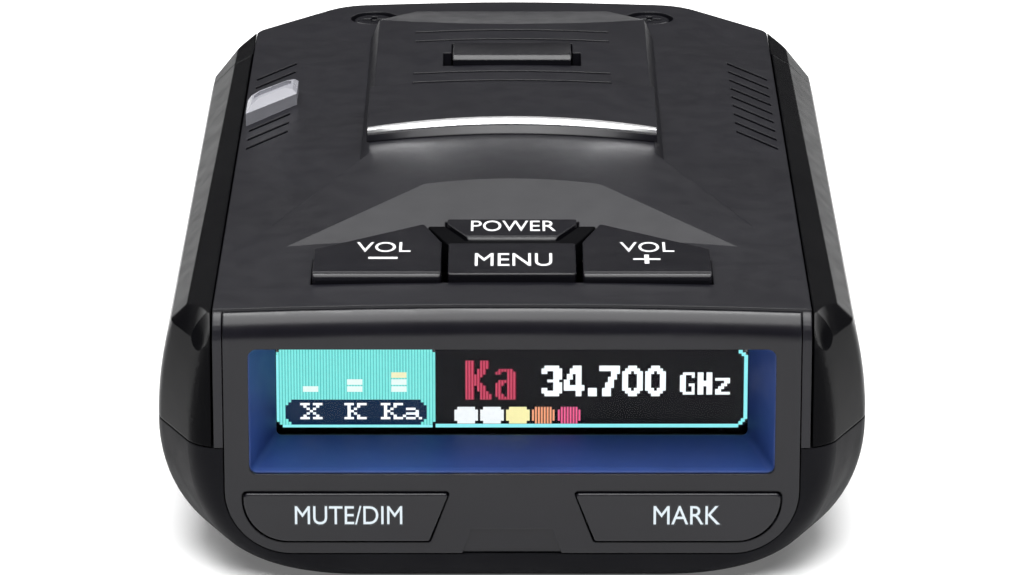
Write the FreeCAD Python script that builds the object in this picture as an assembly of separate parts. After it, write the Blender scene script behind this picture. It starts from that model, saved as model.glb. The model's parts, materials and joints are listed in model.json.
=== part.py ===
"""Windscreen radar detector: casings, display, keys, bracket release and inside boards.

Millimetres. The origin is the middle of the footprint on the surface it rests on.
+X is the driver's right, -Y faces the driver, +Y faces the road and +Z is up.
"""
import FreeCAD
import Part

import math
import os

V = FreeCAD.Vector

# ---- driving dimensions -------------------------------------------------------------
HALF_W = 35.0            # half of the overall width
HALF_L = 57.0            # half of the casing length
SEAM_Z = 14.0            # top of the lower casing
WALL = 1.8               # casing wall
GAP = 0.12               # clearance round a loose-fitting casing part

CORE_W = 29.0            # half width of the top cover
BEZEL_W = 28.0           # half width of the display bezel; cover pillars stand beside it
CORE_Z0 = 3.2            # lower edge of the bezel
DECK_Z = 28.3            # top cover at its middle
DECK_R = 800.0           # very flat crown of the top cover
DECK_T = 2.0             # top cover plate thickness
BEZEL_T = 1.6            # bezel plate thickness
BEZEL_BACK = -HALF_L + BEZEL_T
BEZEL_CORNER = 6.5       # lower corner radius of the bezel
BROW_R = 3.4             # rounding over the display
BROW_LIFT = 0.25         # how far the brow's own crown is above the top cover

RIDGE_Z = 24.0           # crease along each side panel
RIDGE_W = 33.6           # half width at the crease
BEVEL_TOP = 28.0         # where the steep outer bevel would end
BEVEL_TILT = 30.0        # degrees, the flatter inner bevel next to the top cover
TAPER_RUN = 9.5          # the near corners narrow over this length ...
TAPER_IN = 4.4           # ... by this much on each side

FAR_W = 19.3             # half width of the road-facing end before its corners
FAR_R = 6.0
FAR_SAG = 0.9            # how far the ends of the bowed road-facing edge drop back
FAR_BOW_R = 140.0
CHAMFER_SLOPE = 1.141    # plan slope of the two cut corners at the road end
CHAMFER_NORMAL = math.hypot(1.0, CHAMFER_SLOPE)

HOOD_Z = 30.4            # raised spine along the middle of the top cover
HOOD_R = 200.0
HOOD_W = 15.0
HOOD_FOOT_W = 16.6
HOOD_FOOT_Z = 27.0
HOOD_VOID_W = 13.0
PAD_TOP = HOOD_Z + 1.35  # blank badge pad on the spine
TRIM_T = 0.5             # height of the bright trim along the pad's edge

KEY_TOP = 29.15
KEY_BOTTOM = 25.0
KEY_HOLLOW_TOP = 27.95
KEY_GAP = 0.15
STEM_R = 1.0
STEM_HOLE_R = 1.07
PLUNGER_R = 1.6

BOARD_Z = 5.8            # underside of the main board
BOARD_T = 1.2
KEYBOARD_Z = 20.4
KEYBOARD_T = 1.0
FRONT_BOARD_Y = -47.0
LINER_FRONT = -56.5      # the display recess's lining starts behind the bezel's lip

VENT_DROP = 6.2          # how far each slot runs towards the driver
VENT_HALF = 0.42         # half of a slot's width along Y

SCREW_R = 1.05
SCREW_HOLE_R = 1.1
CASE_BOSSES = [(sx * 24.5, y) for sx in (-1, 1) for y in (-38.0, 36.0)]
BOARD_SCREWS = [(-22.0, -8.0), (22.0, 26.0)]
KEYBOARD_SCREWS = [(-18.8, -33.0), (18.8, -33.0)]
TOP_SCREWS = [(-15.8, 50.4), (15.8, 50.4)]

SPRING_Y = 28.0
SPRING_Z0 = 14.62
SPRING_Z1 = 20.48

POWER_JACK_Y = (-28.3, -16.7)
AUDIO_AXIS = (-25.0, 9.7)
USB_Y = (-14.0, -6.3)


# ---- shape helpers ------------------------------------------------------------------
def box(x0, x1, y0, y1, z0, z1):
    return Part.makeBox(x1 - x0, y1 - y0, z1 - z0, V(x0, y0, z0))


def rod(x, y, z, radius, length, direction):
    return Part.makeCylinder(radius, length, V(x, y, z), V(*direction))


def post(x, y, z0, z1, radius):
    return rod(x, y, z0, radius, z1 - z0, (0, 0, 1))


def join(shapes):
    return shapes[0].multiFuse(shapes[1:]).removeSplitter()


def mirror_x(shape):
    return shape.mirror(V(0, 0, 0), V(1, 0, 0))


def rounded_wire(corners, place):
    """Closed wire through (a, b, radius) corners; place(a, b) gives each 3-D point."""
    count = len(corners)
    spans = []
    for i, (a, b, radius) in enumerate(corners):
        here = place(a, b)
        if radius <= 0:
            spans.append((here, None, here))
            continue
        before = (place(*corners[i - 1][:2]) - here).normalize()
        after = (place(*corners[(i + 1) % count][:2]) - here).normalize()
        half = math.acos(before.dot(after)) / 2
        reach = radius / math.tan(half)
        centre = here + (before + after).normalize() * (radius / math.sin(half))
        middle = centre + (here - centre).normalize() * radius
        spans.append((here + before * reach, middle, here + after * reach))
    edges = []
    for i, (start, middle, end) in enumerate(spans):
        if middle is not None:
            edges.append(Part.Arc(start, middle, end).toShape())
        following = spans[(i + 1) % count][0]
        if (following - end).Length > 1e-6:
            edges.append(Part.LineSegment(end, following).toShape())
    return Part.Wire(edges)


def plan_wire(corners, z):
    return rounded_wire(corners, lambda x, y: V(x, y, z))


def prism(corners, z0, z1):
    return Part.Face(plan_wire(corners, z0)).extrude(V(0, 0, z1 - z0))


def front_prism(corners, y0, y1):
    """Prism along Y from (x, z, radius) corners."""
    wire = rounded_wire(corners, lambda x, z: V(x, y0, z))
    return Part.Face(wire).extrude(V(0, y1 - y0, 0))


def sharp(points):
    return [(a, b, 0.0) for a, b in points]


def grown(points, distance):
    """Offset a convex counter-clockwise polygon outwards by distance."""
    count = len(points)
    lines = []
    for i in range(count):
        (ax, ay), (bx, by) = points[i], points[(i + 1) % count]
        length = math.hypot(bx - ax, by - ay)
        nx, ny = (by - ay) / length, (ax - bx) / length
        lines.append((nx, ny, nx * ax + ny * ay + distance))
    result = []
    for i in range(count):
        n1x, n1y, c1 = lines[i - 1]
        n2x, n2y, c2 = lines[i]
        det = n1x * n2y - n2x * n1y
        result.append(((c1 * n2y - c2 * n1y) / det, (n1x * c2 - n2x * c1) / det))
    return result


def half_space_above(p, q, r):
    normal = (q - p).cross(r - p)
    if normal.z < 0:
        normal = normal * -1
    slab = Part.makeBox(400, 400, 60, V(-200, -200, 0))
    slab.Placement = FreeCAD.Placement(p, FreeCAD.Rotation(V(0, 0, 1), normal))
    return slab


def crown(radius, top):
    """Long cylinder along Y whose highest line is at z = top; its seam is underneath."""
    axis = V(0, -2 * HALF_L, top - radius)
    cylinder = Part.makeCylinder(radius, 4 * HALF_L, axis, V(0, 1, 0))
    cylinder.rotate(axis, V(0, 1, 0), 180)
    return cylinder


def edges_where(shape, test):
    found = []
    for edge in shape.Edges:
        middle = edge.valueAt((edge.FirstParameter + edge.LastParameter) / 2)
        if test(middle):
            found.append(edge)
    return found


# ---- plan outline of the casing ---------------------------------------------------------
def outline(width, near, near_r, inset=0.0, taper=1.0):
    """Casing outline seen from above; inset moves its road end and cut corners inwards."""
    far = HALF_L - inset
    far_w = FAR_W - 0.453 * inset
    shoulder = HALF_L - CHAMFER_NORMAL * inset - CHAMFER_SLOPE * (width - FAR_W)
    far_r = FAR_R - 0.7 * inset
    right = [(width - TAPER_IN * taper, near, near_r), (width, near + TAPER_RUN, 5.0), (width, shoulder, 1.2),
             (far_w, far - FAR_SAG, far_r)]
    left = [(-x, y, r) for x, y, r in reversed(right)]
    return right + [(0.0, far, FAR_BOW_R)] + left


def rounded_under(z, radius):
    """How far an edge of the given radius pulls in at height z above the base."""
    if z >= radius:
        return 0.0
    return radius - math.sqrt(radius * radius - (radius - z) ** 2)


def tub(wall):
    """Lower casing form, thinned all round by wall."""
    base_w = 21.0
    depth = SEAM_Z - wall
    levels = [1.0, 0.985, 0.95, 0.88, 0.76, 0.58, 0.36, 0.15, 0.0]
    wires = []
    for q in levels:
        z = SEAM_Z - depth * q
        bulge = (1.0 - q ** 2.2) ** (1 / 2.2)
        width = base_w + (HALF_W - wall - base_w) * bulge
        rise = z - wall
        near = -HALF_L + wall + rounded_under(rise, CORE_Z0 - wall * 0.6)
        inset = wall + rounded_under(rise, 6.0 - wall)
        near_r = 4.0 + 3.0 * q * q - 0.6 * wall
        wires.append(plan_wire(outline(width, near, near_r, inset), z))
    return Part.makeLoft(wires, True, False)


def ring(wall):
    """Side band above the seam: slightly tapering walls, then a steep bevel."""
    drop = wall * 0.62
    sections = [(SEAM_Z + 0.15, HALF_W, 4.0), (19.0, 34.65, 4.0), (RIDGE_Z - drop * 0.8, RIDGE_W, 3.8)]
    wires = [plan_wire(outline(w - wall, -HALF_L + wall, r - 0.6 * wall, wall), z) for z, w, r in sections]
    lower = Part.makeLoft(wires, True, False)
    top_w = CORE_W + 0.6 - drop
    top = plan_wire(outline(top_w, -HALF_L + wall, 0.8, wall, 0.15), BEVEL_TOP - wall * 1.2)
    bevel = Part.makeLoft([wires[-1], top], True, True)
    return lower.fuse(bevel)


def inner_bevel():
    """Everything above the flatter bevel beside the top cover; it sinks towards the driver."""
    fall = 4.0 * math.tan(math.radians(BEVEL_TILT))
    near, far = V(CORE_W, -HALF_L, 27.3), V(CORE_W, HALF_L, 27.75)
    above = half_space_above(near, far, V(CORE_W + 4.0, 0, (near.z + far.z) / 2 - fall))
    return above.common(box(0, 60, -80, 80, 20, 40))


def near_scoop():
    """Shallow hollow in the panel's near corner, beside the bezel pillar."""
    return Part.makeSphere(6.0, V(35.1, -56.2, 26.8))


def core(top, brow_r):
    """Crowned block under the deck; brow_r rounds its edge over the display."""
    block = box(-CORE_W, CORE_W, -HALF_L, HALF_L, CORE_Z0, top + 1.0)
    block = block.common(crown(DECK_R, top)).Solids[0]
    if brow_r:
        brow = edges_where(block, lambda m: m.z > top - 0.1 and m.y < -HALF_L + 0.1)
        return block.makeFillet(brow_r, brow)
    plan = [(CORE_W, -HALF_L, 0.6), (CORE_W, HALF_L - CHAMFER_SLOPE * (CORE_W - FAR_W), 3.0),
            (FAR_W, HALF_L - FAR_SAG, FAR_R), (0, HALF_L, FAR_BOW_R), (-FAR_W, HALF_L - FAR_SAG, FAR_R),
            (-CORE_W, HALF_L - CHAMFER_SLOPE * (CORE_W - FAR_W), 3.0), (-CORE_W, -HALF_L, 0.6)]
    return block.common(prism(plan, CORE_Z0 - 1, top + 1))


def brow_block():
    return core(DECK_Z + BROW_LIFT, BROW_R)


def bezel_outline(extra):
    low = CORE_Z0 - extra
    side = BEZEL_W + extra
    return [(-side, low, BEZEL_CORNER + extra), (side, low, BEZEL_CORNER + extra),
            (side, 40.0, 0.0), (-side, 40.0, 0.0)]


# ---- raised spine and its sloping front ------------------------------------------------
def hood_height(x):
    return HOOD_Z - x * x / (2 * HOOD_R)


def hood():
    foot_a, top_a = V(-HOOD_FOOT_W, -26, HOOD_FOOT_Z), V(-HOOD_W, -26, hood_height(HOOD_W))
    foot_b, top_b = V(HOOD_FOOT_W, -26, HOOD_FOOT_Z), V(HOOD_W, -26, hood_height(HOOD_W))
    profile = Part.Wire([Part.LineSegment(foot_a, top_a).toShape(),
                         Part.Arc(top_a, V(0, -26, HOOD_Z), top_b).toShape(),
                         Part.LineSegment(top_b, foot_b).toShape(),
                         Part.LineSegment(foot_b, foot_a).toShape()])
    spine = Part.Face(profile).extrude(V(0, 80, 0))
    spine = spine.common(prism(sharp([(-17, -26), (17, -26), (17, 39.5), (10.9, 51.5), (-10.9, 51.5),
                                      (-17, 39.5)]), 26, 32))
    apron = box(-28.8, 28.8, -43, 2, HOOD_FOOT_Z, HOOD_Z + 0.6).common(crown(HOOD_R, HOOD_Z))
    shoulder = (14.6, -8.6)
    for side in (-1, 1):
        top = V(side * shoulder[0], shoulder[1], hood_height(shoulder[0]))
        toe = V(side * 27.6, -36.8, 27.6)
        flank = V(top.x + side * 1.83, top.y + 0.80, 28.1)
        apron = apron.cut(half_space_above(top, toe, flank))
    raised = spine.fuse(apron)
    inner = (9.0, -21.7)
    outer = (19.6, -41.5, 28.2)
    left = half_space_above(V(-shoulder[0], shoulder[1], hood_height(shoulder[0])),
                            V(-inner[0], inner[1], hood_height(inner[0])), V(-outer[0], outer[1], outer[2]))
    right = half_space_above(V(shoulder[0], shoulder[1], hood_height(shoulder[0])),
                             V(inner[0], inner[1], hood_height(inner[0])), V(*outer))
    band = half_space_above(V(-inner[0], inner[1], hood_height(inner[0])),
                            V(inner[0], inner[1], hood_height(inner[0])), V(0, -29.4, 29.0))
    raised = raised.cut(left).cut(right).cut(band)
    far_slope = half_space_above(V(0, 39.6, HOOD_Z), V(10, 39.6, HOOD_Z), V(0, 53.4, DECK_Z + 0.05))
    return raised.cut(far_slope).removeSplitter()


# ---- key outlines -----------------------------------------------------------------------
FRAME_FAR = -32.0        # far ends of the V-shaped trim
KEY_CLUSTER = [(-19.75, -48.55), (19.75, -48.55), (19.75, -40.4), (8.95, FRAME_FAR + 0.15),
               (6.75, FRAME_FAR + 0.15), (6.75, -30.35), (-6.75, -30.35), (-6.75, FRAME_FAR + 0.15),
               (-8.95, FRAME_FAR + 0.15), (-19.75, -40.4)]
VOL_DOWN = [(-19.6, -48.4), (-7.0, -48.4), (-7.0, -38.2), (-8.85, FRAME_FAR), (-19.6, -40.4)]
MENU = [(-6.3, -48.4), (6.3, -48.4), (6.3, -38.5), (-6.3, -38.5)]
POWER = [(-4.4, -36.6), (4.4, -36.6), (6.5, FRAME_FAR), (6.5, -30.5), (-6.5, -30.5), (-6.5, FRAME_FAR)]
FRAME_OUTER = [(-6.35, -38.2), (6.35, -38.2), (8.45, FRAME_FAR), (-8.45, FRAME_FAR)]
MUTE = [(-26.2, 4.5, 4.4), (-8.1, 4.5, 0.3), (-6.15, 9.45, 0.3), (-26.2, 9.45, 0.5)]

TOP_SWITCHES = {"volume_down": (-13.5, -43.0), "volume_up": (13.5, -43.0), "menu": (0.0, -43.5),
                "power": (0.0, -33.0)}
FRONT_SWITCHES = {"mute": (-16.5, 7.0), "mark": (16.5, 7.0)}


# ---- casing parts -----------------------------------------------------------------------
def jack_openings():
    """Wall openings for the sockets on both sides."""
    power = box(-40, -20, POWER_JACK_Y[0] - 0.1, POWER_JACK_Y[1] + 0.1, 7.0, 16.0)
    audio = rod(20, AUDIO_AXIS[0], AUDIO_AXIS[1], 2.7, 20, (1, 0, 0))
    usb = box(25, 40, USB_Y[0] - 0.1, USB_Y[1] + 0.1, 7.0, 11.05)
    return join([power, audio, usb])


def bottom_shell():
    shell = tub(0.0).cut(tub(WALL))
    bosses = [post(x, y, 1.0, BOARD_Z - 0.02, 3.4) for x, y in CASE_BOSSES]
    bosses += [post(x, y, 1.5, BOARD_Z - 0.02, 2.2) for x, y in BOARD_SCREWS]
    inside = box(-HALF_W, HALF_W, -HALF_L + 2.5, HALF_L - 2.5, 0.6, SEAM_Z)
    shell = join([shell] + [boss.common(inside) for boss in bosses])
    for x, y in CASE_BOSSES:
        shell = shell.cut(post(x, y, -1, 2.6, 2.5)).cut(post(x, y, 2, SEAM_Z, SCREW_HOLE_R))
    for x, y in BOARD_SCREWS:
        shell = shell.cut(post(x, y, 2.2, SEAM_Z, SCREW_HOLE_R))
    shell = shell.cut(front_prism(bezel_outline(GAP), -HALF_L - 1, -HALF_L + WALL + 1.2))
    shell = shell.cut(jack_openings())
    return shell.cut(prism([(-16, 0, 1.5), (16, 0, 1.5), (16, 30, 1.5), (-16, 30, 1.5)], -1, 0.15))


def bottom_label():
    return prism([(-15.9, 0.1, 1.4), (15.9, 0.1, 1.4), (15.9, 29.9, 1.4), (-15.9, 29.9, 1.4)], 0.02, 0.14)


def panel_pins(radius):
    return [rod(27.0, y, 20.0, radius, 6.2, (1, 0, 0)) for y in (-34.0, -2.0, 25.0)]


def side_panel(side):
    """Gloss panel of one side, with three heat-stake pins through the top cover's wall."""
    panel = ring(0.0).cut(ring(WALL)).common(box(CORE_W + 0.25, 40, -60, 37.0, SEAM_Z, 30))
    panel = panel.cut(inner_bevel()).cut(near_scoop())
    stakes = [pin.common(box(20, CORE_W + 4.0, -60, 60, 0, 40)) for pin in panel_pins(0.95)]
    panel = join([panel] + stakes)
    if side < 0:
        panel = mirror_x(panel)
    return panel.cut(jack_openings())


def windshield_fascia():
    """Road-facing end: bracket mouth above, laser window beside it."""
    band = ring(0.0).cut(ring(WALL)).common(box(-40, 40, 37.15, 60, SEAM_Z, 30))
    band = band.cut(inner_bevel()).cut(mirror_x(inner_bevel()))
    under_cover = box(-CORE_W - 0.1, CORE_W + 0.1, 37.0, 60, BEVEL_TOP - WALL * 1.2 - 0.05, 30)
    band = band.cut(under_cover)
    band = band.cut(box(-5.4, 5.4, 50, 60, 22.9, 25.5))
    return band.cut(box(7.25, 15.85, 50, 60, 14.95, 21.55))


def laser_lens_window():
    lens = box(7.3, 15.8, 54.15, 56.9, 15.0, 21.5)
    lens = lens.makeFillet(0.25, edges_where(lens, lambda m: m.y > 56.89))
    return lens.fuse(box(6.5, 16.6, 53.3, 54.2, 14.3, 21.9)).removeSplitter()


def vent_slots(side):
    slots = []
    for i in range(9):
        y = 31.8 - 3.34 * i
        points = [(24.0, y - VENT_HALF), (28.2, y - VENT_DROP - VENT_HALF),
                  (28.2, y - VENT_DROP + VENT_HALF), (24.0, y + VENT_HALF)]
        slots.append(prism(sharp(points), 26.2, 29.5))
    slots = join(slots)
    return mirror_x(slots) if side < 0 else slots


def top_shell(whole_core, raised):
    above_seam = box(-40, 40, BEZEL_BACK, 60, SEAM_Z + 0.1, 40)
    cover = whole_core.common(above_seam)
    pillar = brow_block().common(box(BEZEL_W + GAP, 40, -60, BEZEL_BACK + 0.5, SEAM_Z + 0.1, DECK_Z - 0.8))
    cover = join([cover, pillar, mirror_x(pillar)])
    under = DECK_Z - DECK_T
    cover = cover.cut(box(-CORE_W + WALL, CORE_W - WALL, -60, 60, 0, under))
    cover = cover.cut(box(-40, 40, 36.9, 60, 0, under - 0.05))
    cover = cover.fuse(raised.common(above_seam)).removeSplitter()
    void = box(-HOOD_VOID_W, HOOD_VOID_W, -20, 38, under - 1, HOOD_Z - DECK_T)
    cover = cover.cut(void)
    bosses = [post(x, y, BOARD_Z + BOARD_T + 0.02, under + 0.5, 2.4) for x, y in CASE_BOSSES]
    bosses += [post(x, y, KEYBOARD_Z + KEYBOARD_T + 0.02, under + 0.5, 2.0) for x, y in KEYBOARD_SCREWS]
    cover = join([cover] + bosses)
    for x, y in CASE_BOSSES:
        cover = cover.cut(post(x, y, 0, 18, SCREW_HOLE_R))
    for x, y in KEYBOARD_SCREWS:
        cover = cover.cut(post(x, y, 0, 25.2, SCREW_HOLE_R))
    cover = cover.cut(prism(sharp(KEY_CLUSTER), under - 1, 40))
    cover = cover.cut(box(-7.6, 7.6, 22.6, 28.0, under - 1, 40)).cut(box(-6.7, 6.7, 27.9, 31.7, under - 1, 40))
    for y in (37.0, 33.2, 20.0, 16.4):
        cover = cover.cut(box(-10.8, 10.8, y - 0.3, y + 0.3, HOOD_Z - 0.75, 40))
    for x, y in TOP_SCREWS:
        cover = cover.cut(post(x, y, 27.1, 40, 2.7)).cut(post(x, y, 20, 40, SCREW_HOLE_R))
    cover = cover.cut(vent_slots(-1)).cut(vent_slots(1))
    for pin in panel_pins(SCREW_R):
        cover = cover.cut(pin).cut(mirror_x(pin))
    hook = box(27.1, 28.3, -51.7, -50.1, 16.3, 20.7)
    cover = cover.cut(hook).cut(mirror_x(hook))
    return cover.cut(jack_openings())


def rounded_rectangle(half_x, z0, z1, radius):
    return [(-half_x, z0, radius), (half_x, z0, radius), (half_x, z1, radius), (-half_x, z1, radius)]


def display_bezel():
    """Front plate round the display, held by two side hooks in the top cover."""
    plate = brow_block().common(box(-40, 40, -60, BEZEL_BACK - 0.05, 0, 40))
    plate = plate.common(front_prism(bezel_outline(0.0), -60, -50))
    arm = box(26.15, 27.1, BEZEL_BACK - 0.3, -50.0, 15.0, 22.0)
    arm = arm.fuse(box(27.0, 28.2, -51.5, -50.3, 16.5, 20.5))
    plate = join([plate, arm, mirror_x(arm)])
    plate = plate.cut(front_prism(rounded_rectangle(25.6, 11.35, 24.2, 0.9), -60, -54))
    plate = plate.cut(front_prism(rounded_rectangle(26.1, 10.85, 24.6, 0.8), LINER_FRONT - 0.05, -54))
    hole = [(x + math.copysign(KEY_GAP, x + 15), z + math.copysign(KEY_GAP, z - 7), r)
            for x, z, r in MUTE]
    opening = front_prism(hole, -60, -54)
    plate = plate.cut(opening).cut(mirror_x(opening))
    notch = front_prism(sharp([(-5.1, 2.5), (5.1, 2.5), (4.0, 5.7), (-4.0, 5.7)]), -60, -HALF_L + 0.3)
    return plate.cut(notch)


def recess_liner():
    """Funnel between the bezel and the display glass."""
    def rim(half_x, z0, z1, y):
        return rounded_wire(rounded_rectangle(half_x, z0, z1, 0.6), lambda x, z: V(x, y, z))
    outer = Part.makeLoft([rim(26.0, 10.95, 24.5, LINER_FRONT), rim(23.9, 12.2, 23.9, -50.0)], True, True)
    inner = Part.makeLoft([rim(25.5, 11.45, 24.1, LINER_FRONT - 0.01), rim(23.2, 12.96, 23.2, -49.99)],
                          True, True)
    return outer.cut(inner)


# ---- top details --------------------------------------------------------------------------
def badge_wire(near_mid, near_end, far, z):
    a, b = V(-15.3, near_end, z), V(15.3, near_end, z)
    c, d = V(15.3, far, z), V(-15.3, far, z)
    return Part.Wire([Part.Arc(a, V(0, near_mid, z), b).toShape(), Part.LineSegment(b, c).toShape(),
                      Part.LineSegment(c, d).toShape(), Part.LineSegment(d, a).toShape()])


def badge_block():
    foot = badge_wire(-5.5, -5.6, 11.6, 29.4)
    top = badge_wire(-2.9, -5.1, 10.8, 31.9)
    return Part.makeLoft([foot, top], True, True).common(crown(HOOD_R, PAD_TOP))


def badge_trim_tool(extra):
    """Slim bow along the top of the pad's near edge."""
    a, b = V(-15.2 - extra, -7.0, 29.5), V(15.2 + extra, -7.0, 29.5)
    c, d = V(15.2 + extra, -4.45 + extra, 29.5), V(-15.2 - extra, -4.45 + extra, 29.5)
    wire = Part.Wire([Part.LineSegment(a, b).toShape(), Part.LineSegment(b, c).toShape(),
                      Part.Arc(c, V(0, -2.25 + extra, 29.5), d).toShape(), Part.LineSegment(d, a).toShape()])
    return Part.Face(wire).extrude(V(0, 0, 4.0)).cut(crown(HOOD_R, PAD_TOP - TRIM_T - extra))


def badge_plate():
    return badge_block().cut(crown(HOOD_R, HOOD_Z + 0.01)).cut(badge_trim_tool(0.02))


def badge_trim():
    return badge_block().common(badge_trim_tool(0.0))


def rear_laser_prism(whole_core):
    """Clear bar beside the left vents: bevelled on top, with a groove along it."""
    near_out, near_in, far_in, far_out = (-28.6, 7.4), (-23.4, 15.3), (-23.4, 20.3), (-28.6, 12.6)
    bar = prism(sharp([near_out, near_in, far_in, far_out]), 27.3, 30.0)
    bar = bar.makeChamfer(0.8, edges_where(bar, lambda m: m.z > 29.99 and m.y < m.x * 1.5 + 53.0))
    bar = bar.makeChamfer(0.45, edges_where(bar, lambda m: m.z > 29.99 and m.y > m.x * 1.5 + 53.0))
    groove = prism(sharp([(-27.9, 10.9), (-24.1, 16.6), (-24.1, 18.4), (-27.9, 12.5)]), 29.5, 31)
    return bar.cut(groove).cut(whole_core)


def screw(x, y, seat, head_r, head_h, length, up):
    """Pan-head screw with a cross recess; up points from the tip to the head."""
    direction = (0, 0, up)
    head = rod(x, y, seat, head_r, head_h, direction)
    head = head.makeFillet(head_h * 0.45, edges_where(head, lambda m: abs(m.z - seat - up * head_h) < 1e-3))
    shank = rod(x, y, seat, SCREW_R, length, (0, 0, -up))
    tip = seat + up * head_h
    depth = head_h * 0.5
    z0, z1 = sorted((tip - up * depth, tip + up))
    arm, half = head_r * 0.55, 0.32
    cross = box(x - arm, x + arm, y - half, y + half, z0, z1).fuse(box(x - half, x + half, y - arm, y + arm, z0, z1))
    return head.fuse(shank).cut(cross).removeSplitter()


def top_screws():
    return Part.makeCompound([screw(x, y, 27.12, 2.35, 0.85, 4.6, 1) for x, y in TOP_SCREWS])


def case_screws():
    return Part.makeCompound([screw(x, y, 2.58, 2.2, 1.5, 12.0, -1) for x, y in CASE_BOSSES])


def board_screws():
    seat = BOARD_Z + BOARD_T + 0.02
    return Part.makeCompound([screw(x, y, seat, 2.0, 1.2, 4.6, 1) for x, y in BOARD_SCREWS])


def key_board_screws():
    return Part.makeCompound([screw(x, y, KEYBOARD_Z - 0.02, 1.9, 1.1, 4.4, -1) for x, y in KEYBOARD_SCREWS])


# ---- keys -----------------------------------------------------------------------------------
def near_round(x0, x1, y, radius):
    """What a key loses when its near top edge is rounded by radius."""
    corner = box(x0, x1, y - 0.1, y + radius, KEY_TOP - radius, KEY_TOP + 1)
    return corner.cut(rod(x0 - 1, y + radius, KEY_TOP - radius, radius, x1 - x0 + 2, (1, 0, 0)))


def top_key(points, switch, tabs, near_r):
    cap = prism([(x, y, 0.3) for x, y in points], KEY_BOTTOM, KEY_TOP)
    cap = cap.cut(near_round(-30, 30, min(y for _, y in points), near_r))
    cap = cap.cut(prism(sharp(grown(points, -1.1)), KEY_BOTTOM - 1, KEY_HOLLOW_TOP))
    plunger = post(switch[0], switch[1], 24.4, KEY_HOLLOW_TOP + 0.3, PLUNGER_R)
    return join([cap, plunger] + tabs)


def volume_down_key():
    tabs = [box(-21.0, -19.2, -46.5, -42.0, KEY_BOTTOM, 26.1), box(-17.0, -10.0, -49.6, -48.2, KEY_BOTTOM, 26.1)]
    return top_key(VOL_DOWN, TOP_SWITCHES["volume_down"], tabs, 0.75)


def menu_key():
    return top_key(MENU, TOP_SWITCHES["menu"], [box(-4.0, 4.0, -49.6, -48.2, KEY_BOTTOM, 26.1)], 0.2)


def power_key():
    return top_key(POWER, TOP_SWITCHES["power"], [box(-3.0, 3.0, -30.9, -29.2, KEY_BOTTOM, 26.1)], 0.6)


def key_stem(switch):
    return post(switch[0], switch[1], 22.6, 24.38, STEM_R)


def key_frame():
    """Glossy V-shaped trim between the power key and its neighbours."""
    body = prism(sharp(FRAME_OUTER), 26.4, 28.9)
    hole = [(-4.6, -36.8), (4.6, -36.8), (6.7, FRAME_FAR), (6.7, -30), (-6.7, -30), (-6.7, FRAME_FAR)]
    return body.cut(prism(sharp(hole), 20, 40))


def front_key():
    cap = front_prism(MUTE, -57.3, BEZEL_BACK + 0.1)
    cap = cap.makeFillet(0.2, edges_where(cap, lambda m: m.y < -57.29))
    flange = [(x + math.copysign(0.8, x + 15), z + math.copysign(0.8, z - 7), r) for x, z, r in MUTE]
    rim = front_prism(flange, BEZEL_BACK, BEZEL_BACK + 0.8)
    x, z = FRONT_SWITCHES["mute"]
    back = BEZEL_BACK + 0.7
    plunger = rod(x, back, z, 1.5, -50.4 - back, (0, 1, 0))
    return join([cap, rim, plunger])


def front_stem():
    x, z = FRONT_SWITCHES["mute"]
    return rod(x, -50.38, z, STEM_R, 1.9, (0, 1, 0))


def key_switches():
    bodies = []
    for x, y in TOP_SWITCHES.values():
        body = box(x - 2.25, x + 2.25, y - 2.25, y + 2.25, 21.42, 23.4)
        bodies.append(body.cut(post(x, y, 22.1, 30, STEM_HOLE_R)))
    return Part.makeCompound(bodies)


def front_switches():
    bodies = []
    for x, z in FRONT_SWITCHES.values():
        body = box(x - 2.25, x + 2.25, -49.0, -47.02, z - 2.25, z + 2.25)
        bodies.append(body.cut(rod(x, -52, z, STEM_HOLE_R, 4.1, (0, 1, 0))))
    return Part.makeCompound(bodies)


def lamp(x, y, z):
    return box(x - 0.8, x + 0.8, y - 0.8, y + 0.8, z, z + 0.7)


def key_lamps():
    spots = [(-17.2, -41.5), (-9.6, -41.5), (17.2, -41.5), (9.6, -41.5), (-4.4, -43.5), (4.4, -43.5)]
    return Part.makeCompound([lamp(x, y, KEYBOARD_Z + KEYBOARD_T + 0.01) for x, y in spots])


def front_lamps():
    return Part.makeCompound([box(x - 0.8, x + 0.8, -47.72, -47.01, 6.2, 7.8) for x in (-22, -11, 11, 22)])


# ---- bracket guide and its release -------------------------------------------------------
def bracket_guide():
    """Channel that a windscreen bracket's blade slides into, with the release's spring cup."""
    channel = box(-7.8, 7.8, 20.0, 54.5, 22.0, 26.2)
    ears = box(-18.5, 18.5, 47.5, 53.4, 24.0, 26.2)
    body = channel.fuse(ears).cut(box(-5.1, 5.1, 19.0, 56.0, 23.2, 25.2))
    cap_room = box(-7.9, 7.9, 22.4, 31.9, 25.1, 27)
    leg_room = join([box(-6.6, -5.05, 25.8, 30.2, 20, 27), box(5.05, 6.6, 25.8, 30.2, 20, 27)])
    tooth_room = box(-2.2, 2.2, 27.75, 30.25, 21, 24)
    body = body.cut(cap_room).cut(leg_room).cut(tooth_room)
    cup = box(-7.8, 7.8, 24.5, 31.5, 13.4, 14.6)
    leg = box(6.8, 7.8, 24.5, 31.5, 13.4, 22.1)
    body = join([body, cup, leg, mirror_x(leg), post(0, SPRING_Y, 14.5, 16.6, 1.3)])
    for x, y in TOP_SCREWS:
        body = body.cut(post(x, y, 20, 30, SCREW_HOLE_R))
    return body


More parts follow.
